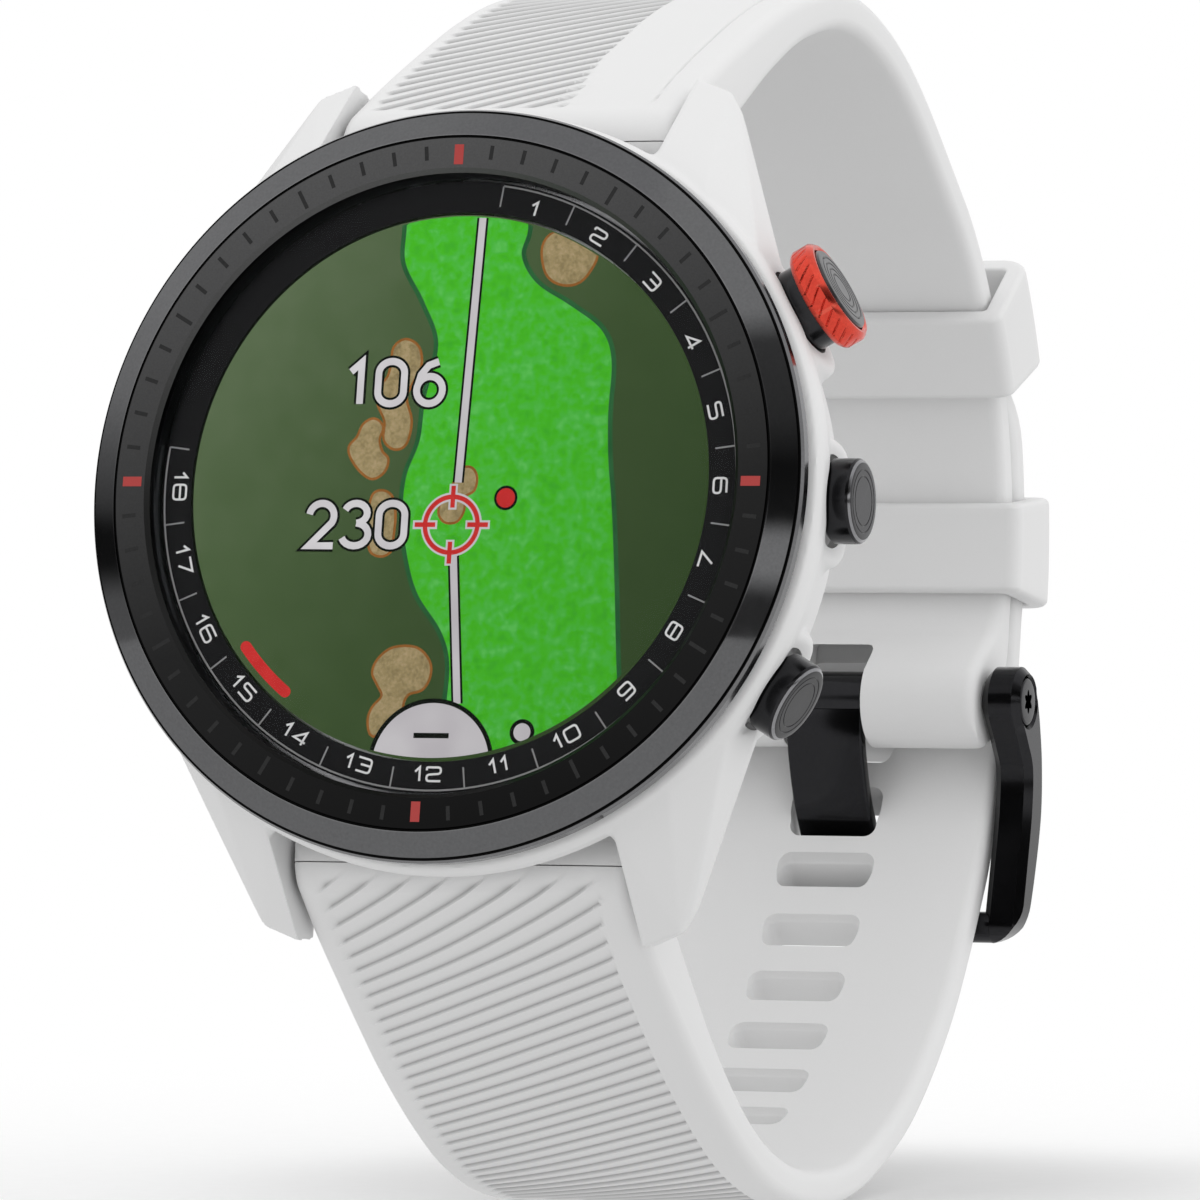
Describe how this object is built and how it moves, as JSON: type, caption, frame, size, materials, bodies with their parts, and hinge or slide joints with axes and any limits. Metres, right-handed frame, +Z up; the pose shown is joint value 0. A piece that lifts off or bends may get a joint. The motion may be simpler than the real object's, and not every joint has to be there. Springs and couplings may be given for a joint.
{
  "type": "golf gps watch",
  "caption": "Round sports watch with a black polished bezel, white lugged case, side push buttons and a buckled white silicone strap closed in a loop.",
  "frame": {"origin": "centre of the flat of the rear sensor window, the face that rests on the wrist", "axes": "+X towards 3 o'clock (the button side), +Z up as the watch stands on its strap, +Y from the watch head to the buckle; the face leans back 10 degrees, so it points along (0, -0.9848, 0.1736) and 12 o'clock lies along (0, 0.1736, 0.9848)"},
  "size_m": [0.0486, 0.0848, 0.0783],
  "materials": {
    "case_white": "satin moulded white polymer",
    "silicone_white": "matte moulded white silicone",
    "bezel_gunmetal": "polished dark coated steel",
    "steel": "satin",
    "buckle_black": "black coated, satin with bright chamfers",
    "button_black": "glossy black coated",
    "button_red": "glossy red anodised",
    "dial_black": "matte black print",
    "display": "lit map display",
    "lens_glass": "polished, coated",
    "cover_black": "fine matte texture",
    "sensor_black": "polished",
    "seal_rubber": "matte",
    "board_green": "solder mask",
    "cell_foil": "foil pouch",
    "contact_gold": "gold plated"
  },
  "bodies": {
    "watch_head": {"battery_cell": "cell_foil", "bezel_gasket": "seal_rubber", "bezel_ring": "bezel_gunmetal", "bezel_seat": "steel", "button_lower_seal": "seal_rubber", "button_middle_seal": "seal_rubber", "button_upper_seal": "seal_rubber", "case_middle": "case_white", "charge_contact_1": "contact_gold", "charge_contact_2": "contact_gold", "charge_contact_3": "contact_gold", "charge_contact_4": "contact_gold", "charge_socket": "cover_black", "dial_ring": "dial_black", "display_frame": "steel", "display_panel": "display", "gps_antenna": "contact_gold", "lens_glass": "lens_glass", "lug_pin_lower": "steel", "lug_pin_upper": "steel", "main_board": "board_green", "rear_cover": "cover_black", "rear_cover_screw_1": "steel", "rear_cover_screw_2": "steel", "rear_cover_screw_3": "steel", "rear_cover_screw_4": "steel", "rear_gasket": "seal_rubber", "sensor_board": "board_green", "sensor_window": "sensor_black", "switch_lower": "cover_black", "switch_middle": "cover_black", "switch_upper": "cover_black", "vibration_motor": "steel"},
    "button_upper": {"button_upper_cap": "button_black", "button_upper_ring": "button_red", "button_upper_stem": "button_black"},
    "button_middle": {"button_middle_cap": "button_black"},
    "button_lower": {"button_lower_cap": "button_black"},
    "strap": {"band_upper": "silicone_white", "band_lower": "silicone_white", "end_hook_upper": "steel", "end_hook_lower": "steel"},
    "latch_upper": {"latch_upper": "buckle_black"},
    "latch_lower": {"latch_lower": "buckle_black"},
    "keeper_upper": {"keeper_upper": "silicone_white"},
    "keeper_lower": {"keeper_lower": "silicone_white"},
    "buckle": {"buckle_frame": "buckle_black", "buckle_pin": "steel", "buckle_screw_left": "buckle_black", "buckle_screw_right": "buckle_black"},
    "prong": {"buckle_prong": "buckle_black"}
  },
  "joints": [
    {"name": "press_upper", "type": "slide", "parent": "watch_head", "child": "button_upper", "axis": [-0.866, -0.0868, -0.4924], "range_m": [0, 0.0006]},
    {"name": "press_middle", "type": "slide", "parent": "watch_head", "child": "button_middle", "axis": [-1, 0, 0], "range_m": [0, 0.0006]},
    {"name": "press_lower", "type": "slide", "parent": "watch_head", "child": "button_lower", "axis": [-0.866, 0.0868, 0.4924], "range_m": [0, 0.0006]},
    {"name": "strap_swing", "type": "hinge", "parent": "watch_head", "child": "strap", "pos_m": [0, -0.00113, 0.02295], "axis": [1, 0, 0], "range_deg": [0, 60]},
    {"name": "latch_slide_upper", "type": "slide", "parent": "strap", "child": "latch_upper", "axis": [0, 0.9041, 0.4273], "range_m": [0, 0.0018]},
    {"name": "latch_slide_lower", "type": "slide", "parent": "strap", "child": "latch_lower", "axis": [0, 0.7104, -0.7038], "range_m": [0, 0.0018]},
    {"name": "keeper_slide_upper", "type": "hinge", "parent": "strap", "child": "keeper_upper", "pos_m": [0, 0.03292, -0.00043], "axis": [1, 0, 0], "range_deg": [-8, 14]},
    {"name": "keeper_slide_lower", "type": "hinge", "parent": "strap", "child": "keeper_lower", "pos_m": [0, 0.03292, -0.00043], "axis": [1, 0, 0], "range_deg": [-1, 6]},
    {"name": "buckle_hinge", "type": "hinge", "parent": "strap", "child": "buckle", "pos_m": [0, 0.05652, -0.01213], "axis": [1, 0, 0], "range_deg": [0, 10]},
    {"name": "prong_hinge", "type": "hinge", "parent": "strap", "child": "prong", "pos_m": [0, 0.05652, -0.01213], "axis": [1, 0, 0], "range_deg": [0, 10]}
  ],
  "couplings": [
    {"joint": "prong_hinge", "follows": "buckle_hinge", "ratio": 1}
  ]
}
